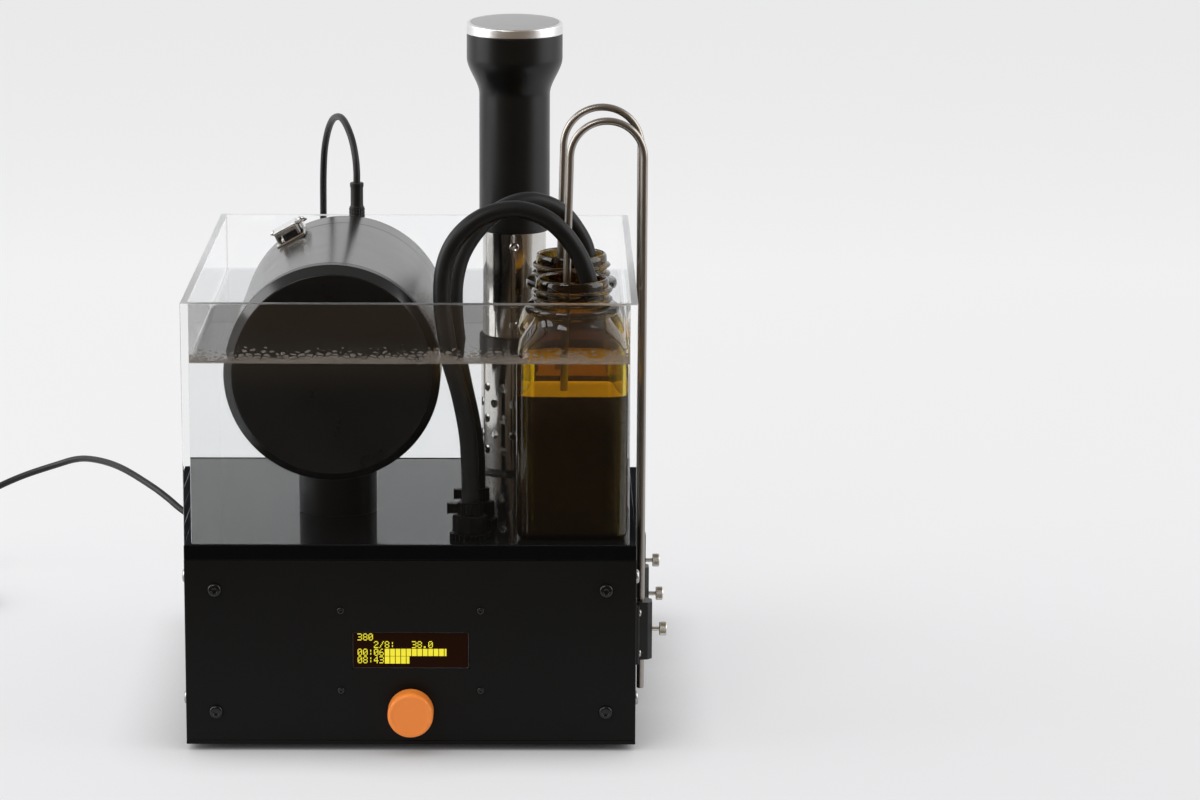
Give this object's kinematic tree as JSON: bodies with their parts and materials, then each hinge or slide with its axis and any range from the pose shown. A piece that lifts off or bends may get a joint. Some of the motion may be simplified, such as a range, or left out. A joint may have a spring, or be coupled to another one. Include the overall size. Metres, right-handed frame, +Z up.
{
  "type": "automatic film processor",
  "caption": "Clear water bath on a black control box with a film drum, amber chemical bottles, hoses, sliding steel dip tubes, an immersion circulator, a display and a turn-and-press knob.",
  "frame": {"origin": "under the middle of the object's box, on the standing surface, with the free leads left out", "axes": "+Z up, -Y toward the control panel, +X toward the tube clamps"},
  "size_m": [0.6053, 0.5288, 0.4569],
  "materials": {
    "black_panel": "satin black powder coat",
    "post_alu": "plain extruded aluminium",
    "foot_rubber": "matte black rubber",
    "black_screw": "blackened steel",
    "bright_screw": "bright steel",
    "display": "dark character display",
    "encoder": "plated steel",
    "encoder_plastic": "moulded plastic",
    "knob_orange": "satin orange plastic",
    "board": "circuit board",
    "black_plastic": "moulded black plastic",
    "motor_can": "painted motor can",
    "pale_plastic": "moulded pale plastic",
    "slab": "gloss black acrylic",
    "clear_wall": "clear acrylic",
    "nickel": "nickel plated, knurled",
    "tube_steel": "bright drawn stainless steel",
    "amber_glass": "amber glass",
    "hose_rubber": "matte black rubber",
    "drum_grey": "satin dark grey",
    "drum_black": "matte black",
    "spindle_steel": "ground steel",
    "latch_chrome": "chrome plated",
    "circ_cap": "satin grey cap with a bright ring",
    "circ_steel": "polished stainless steel",
    "lead_rubber": "satin black lead"
  },
  "bodies": {
    "base": {"bottom_plate": "black_panel", "front_panel": "black_panel", "rear_panel": "black_panel", "side_panels": "black_panel", "corner_posts": "post_alu", "feet": "foot_rubber", "panel_screws": "black_screw", "side_screws": "bright_screw", "small_screws": "bright_screw", "display_module": "display", "encoder_body": "encoder", "controller_board": "board", "power_inlet": "black_plastic", "cable_gland": "black_plastic", "hose_stubs": "black_plastic", "clamp_blocks": "black_plastic", "hose_fittings": "black_plastic", "cable_plug": "black_plastic", "circulator_head": "black_plastic", "wall_clip": "black_plastic", "line_socket": "black_plastic", "mains_plug": "black_plastic", "solenoid_coils": "black_plastic", "pump_head": "black_plastic", "pump_motor": "motor_can", "valve_manifold": "pale_plastic", "tank_floor": "slab", "tank_end_walls": "clear_wall", "tank_side_walls": "clear_wall", "front_bottle": "amber_glass", "rear_bottle": "amber_glass", "front_hose": "hose_rubber", "rear_hose": "hose_rubber", "drum_shell": "drum_grey", "rear_cap": "drum_grey", "front_cap": "drum_black", "drum_pedestal": "drum_black", "drum_motor": "drum_black", "latch_base": "latch_chrome", "circulator_cap": "circ_cap", "circulator_sleeve": "circ_steel", "circulator_heater": "circ_steel", "motor_cable": "lead_rubber", "power_lead": "lead_rubber", "lead_coil": "lead_rubber"},
    "knob_plunger": {"encoder_plunger": "encoder_plastic"},
    "knob": {"encoder_shaft": "encoder", "control_knob": "knob_orange"},
    "front_screw": {"front_thumbscrew": "nickel"},
    "middle_screw": {"middle_thumbscrew": "nickel"},
    "rear_screw": {"rear_thumbscrew": "nickel"},
    "front_tube": {"front_dip_tube": "tube_steel"},
    "rear_tube": {"rear_dip_tube": "tube_steel"},
    "reels": {"reel_spindle": "spindle_steel", "film_reels": "pale_plastic"},
    "pump_rotor": {"pump_impeller": "pale_plastic"},
    "circulator_rotor": {"circulator_impeller": "circ_steel"},
    "clip_knob": {"clip_screw": "black_plastic"},
    "lever": {"latch_lever": "latch_chrome"},
    "bail": {"latch_bail": "latch_chrome"}
  },
  "joints": [
    {"name": "knob_press", "type": "slide", "parent": "base", "child": "knob_plunger", "axis": [0, 1, 0], "range_m": [0, 0.001], "stiffness_N_per_m": 800},
    {"name": "knob_turn", "type": "hinge", "parent": "knob_plunger", "child": "knob", "pos_m": [-0.0099, -0.17825, 0.028], "axis": [0, -1, 0], "continuous": true},
    {"name": "front_screw_turn", "type": "hinge", "parent": "base", "child": "front_screw", "pos_m": [0.1541, -0.12325, 0.0695], "axis": [1, 0, 0], "continuous": true},
    {"name": "middle_screw_turn", "type": "hinge", "parent": "base", "child": "middle_screw", "pos_m": [0.1541, -0.03025, 0.0695], "axis": [1, 0, 0], "continuous": true},
    {"name": "rear_screw_turn", "type": "hinge", "parent": "base", "child": "rear_screw", "pos_m": [0.1541, 0.06275, 0.0695], "axis": [1, 0, 0], "continuous": true},
    {"name": "front_tube_slide", "type": "slide", "parent": "base", "child": "front_tube", "axis": [0, 0, 1], "range_m": [-0.012, 0.035]},
    {"name": "rear_tube_slide", "type": "slide", "parent": "base", "child": "rear_tube", "axis": [0, 0, 1], "range_m": [-0.012, 0.035]},
    {"name": "reel_spin", "type": "hinge", "parent": "base", "child": "reels", "pos_m": [-0.0624, -0.04325, 0.2505], "axis": [0, 1, 0], "continuous": true},
    {"name": "pump_spin", "type": "hinge", "parent": "base", "child": "pump_rotor", "pos_m": [-0.0624, -0.04325, 0.043], "axis": [0, 1, 0], "continuous": true},
    {"name": "circulator_spin", "type": "hinge", "parent": "base", "child": "circulator_rotor", "pos_m": [0.0566, 0.12375, 0.16], "axis": [0, 0, 1], "continuous": true},
    {"name": "clip_screw_turn", "type": "hinge", "parent": "base", "child": "clip_knob", "pos_m": [0.0566, 0.18175, 0.292], "axis": [0, 1, 0], "continuous": true},
    {"name": "latch_open", "type": "hinge", "parent": "base", "child": "lever", "pos_m": [-0.10128, 0.02075, 0.32065], "axis": [-0.8746, 0, -0.4848], "range_deg": [0, 90]},
    {"name": "bail_swing", "type": "hinge", "parent": "lever", "child": "bail", "pos_m": [-0.10201, 0.01625, 0.32196], "axis": [0.8746, 0, 0.4848], "range_deg": [0, 120.5]}
  ],
  "couplings": [
    {"joint": "bail_swing", "follows": "latch_open", "ratio": 1.3333}
  ]
}
